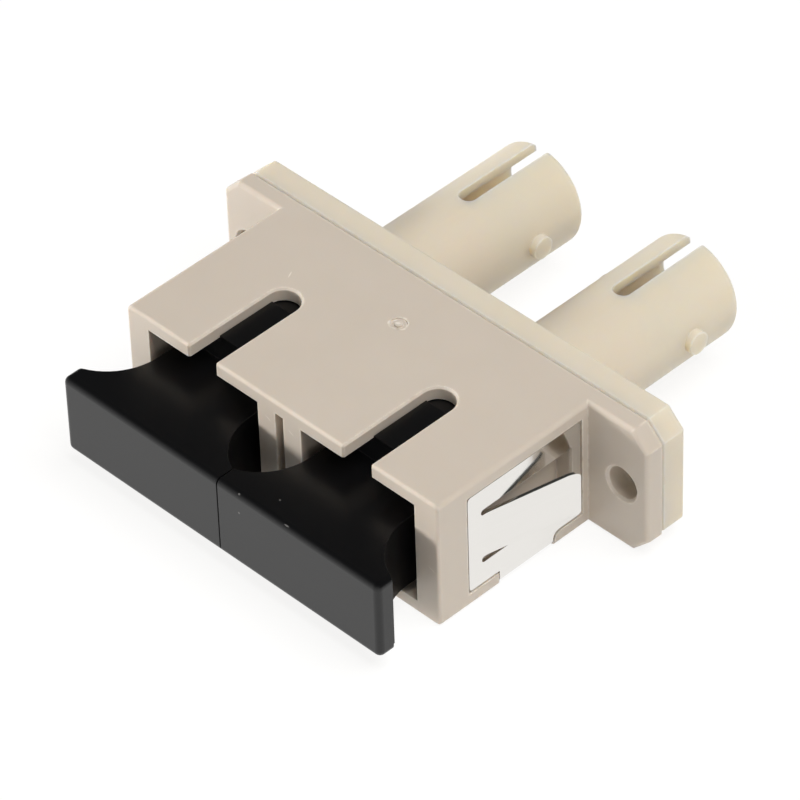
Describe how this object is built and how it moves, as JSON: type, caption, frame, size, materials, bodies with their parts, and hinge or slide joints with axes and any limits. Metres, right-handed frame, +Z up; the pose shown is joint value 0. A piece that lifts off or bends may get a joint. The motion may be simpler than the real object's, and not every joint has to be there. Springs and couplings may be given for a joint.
{
  "type": "fibre optic adapter",
  "caption": "Panel-mount fibre adapter that joins square push-in plugs to round bayonet plugs, with split alignment sleeves, a folded steel panel clip and pull-out dust caps.",
  "frame": {"origin": "centre of the flange face that meets the panel, midway between the screw holes", "axes": "+Y along the ports from the square side to the bayonet side, +X across the pair, +Z up through the keyways"},
  "size_m": [0.0348, 0.0333, 0.0092],
  "materials": {
    "port_plastic": "satin moulded beige",
    "barrel_plastic": "satin moulded cream",
    "clip_steel": "bright rolled stainless sheet",
    "insert_plastic": "satin moulded cream",
    "sleeve_bronze": "smooth ground",
    "cap_plastic": "satin moulded black"
  },
  "bodies": {
    "adapter": {"sc_housing": "port_plastic", "st_housing": "barrel_plastic", "retaining_clip": "clip_steel", "latch_insert_left": "insert_plastic", "latch_insert_right": "insert_plastic", "alignment_sleeve_left": "sleeve_bronze", "alignment_sleeve_right": "sleeve_bronze"},
    "cap_left": {"dust_cap_left": "cap_plastic"},
    "cap_right": {"dust_cap_right": "cap_plastic"}
  },
  "joints": [
    {"name": "cap_left_pull", "type": "slide", "parent": "adapter", "child": "cap_left", "axis": [0, -1, 0], "range_m": [0, 0.012]},
    {"name": "cap_right_pull", "type": "slide", "parent": "adapter", "child": "cap_right", "axis": [0, -1, 0], "range_m": [0, 0.012]}
  ]
}
